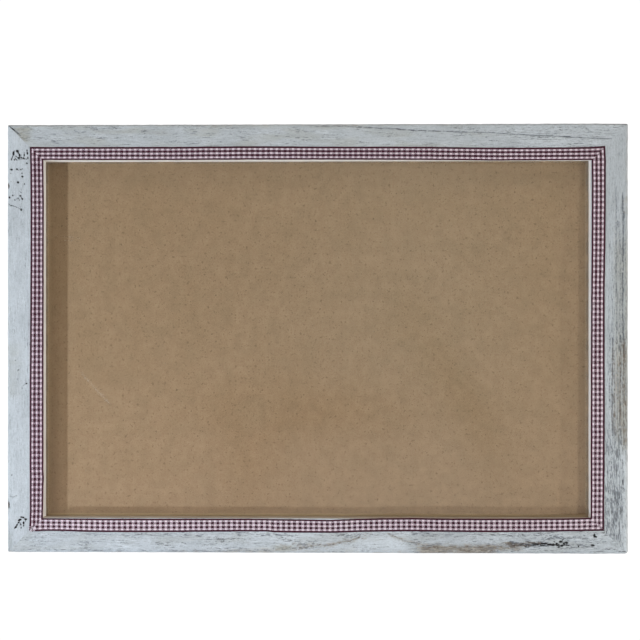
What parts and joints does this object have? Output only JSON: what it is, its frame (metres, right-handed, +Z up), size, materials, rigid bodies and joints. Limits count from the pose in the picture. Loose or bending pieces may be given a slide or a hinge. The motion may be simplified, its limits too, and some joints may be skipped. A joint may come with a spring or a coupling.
{
  "type": "picture frame",
  "caption": "Landscape wooden picture frame with whitewashed mitred rails, a gingham ribbon strip round the glass, a hardboard back on turn buttons and D-ring hangers.",
  "frame": {"origin": "centre of the rear plane of the rails, which hangs against the wall", "axes": "+X to the viewer's right along the long rails, +Z up, front face looks along -Y, +Y into the wall"},
  "size_m": [0.33, 0.0181, 0.228],
  "materials": {
    "whitewashed_wood": "thin bluish white wash over grain, worn and speckled",
    "gingham_ribbon": "plain woven burgundy and white check ribbon",
    "clear_glass": "clear float glass, polished",
    "hardboard": "smooth brown hardboard with dark fibre specks",
    "zinc_plate": "bright zinc plated steel",
    "spring_steel": "bare spring steel"
  },
  "bodies": {
    "frame": {"rail_top": "whitewashed_wood", "rail_bottom": "whitewashed_wood", "rail_left": "whitewashed_wood", "rail_right": "whitewashed_wood", "ribbon_top": "gingham_ribbon", "ribbon_bottom": "gingham_ribbon", "ribbon_left": "gingham_ribbon", "ribbon_right": "gingham_ribbon", "glass_pane": "clear_glass", "backing_board": "hardboard", "v_nail_top_left": "spring_steel", "v_nail_top_right": "spring_steel", "v_nail_bottom_left": "spring_steel", "v_nail_bottom_right": "spring_steel", "button_screw_top_left": "zinc_plate", "button_screw_top_right": "zinc_plate", "button_screw_bottom_left": "zinc_plate", "button_screw_bottom_right": "zinc_plate", "button_screw_left": "zinc_plate", "button_screw_right": "zinc_plate", "hanger_strap_left": "zinc_plate", "hanger_strap_right": "zinc_plate", "hanger_screw_left": "zinc_plate", "hanger_screw_right": "zinc_plate"},
    "turn_button_top_left": {"turn_button_top_left": "zinc_plate"},
    "turn_button_top_right": {"turn_button_top_right": "zinc_plate"},
    "turn_button_bottom_left": {"turn_button_bottom_left": "zinc_plate"},
    "turn_button_bottom_right": {"turn_button_bottom_right": "zinc_plate"},
    "turn_button_left": {"turn_button_left": "zinc_plate"},
    "turn_button_right": {"turn_button_right": "zinc_plate"},
    "hanger_ring_left": {"hanger_ring_left": "zinc_plate"},
    "hanger_ring_right": {"hanger_ring_right": "zinc_plate"}
  },
  "joints": [
    {"name": "turn_top_left", "type": "hinge", "parent": "frame", "child": "turn_button_top_left", "pos_m": [-0.085, 0.00065, 0.1081], "axis": [0, 1, 0], "continuous": true},
    {"name": "turn_top_right", "type": "hinge", "parent": "frame", "child": "turn_button_top_right", "pos_m": [0.085, 0.00065, 0.1081], "axis": [0, 1, 0], "continuous": true},
    {"name": "turn_bottom_left", "type": "hinge", "parent": "frame", "child": "turn_button_bottom_left", "pos_m": [-0.085, 0.00065, -0.1081], "axis": [0, 1, 0], "continuous": true},
    {"name": "turn_bottom_right", "type": "hinge", "parent": "frame", "child": "turn_button_bottom_right", "pos_m": [0.085, 0.00065, -0.1081], "axis": [0, 1, 0], "continuous": true},
    {"name": "turn_left", "type": "hinge", "parent": "frame", "child": "turn_button_left", "pos_m": [-0.1591, 0.00065, -0.016], "axis": [0, 1, 0], "continuous": true},
    {"name": "turn_right", "type": "hinge", "parent": "frame", "child": "turn_button_right", "pos_m": [0.1591, 0.00065, -0.016], "axis": [0, 1, 0], "continuous": true},
    {"name": "ring_swing_left", "type": "hinge", "parent": "frame", "child": "hanger_ring_left", "pos_m": [-0.1591, 0.00195, 0.04], "axis": [1, 0, 0], "range_deg": [0, 174]},
    {"name": "ring_swing_right", "type": "hinge", "parent": "frame", "child": "hanger_ring_right", "pos_m": [0.1591, 0.00195, 0.04], "axis": [1, 0, 0], "range_deg": [0, 174]}
  ]
}
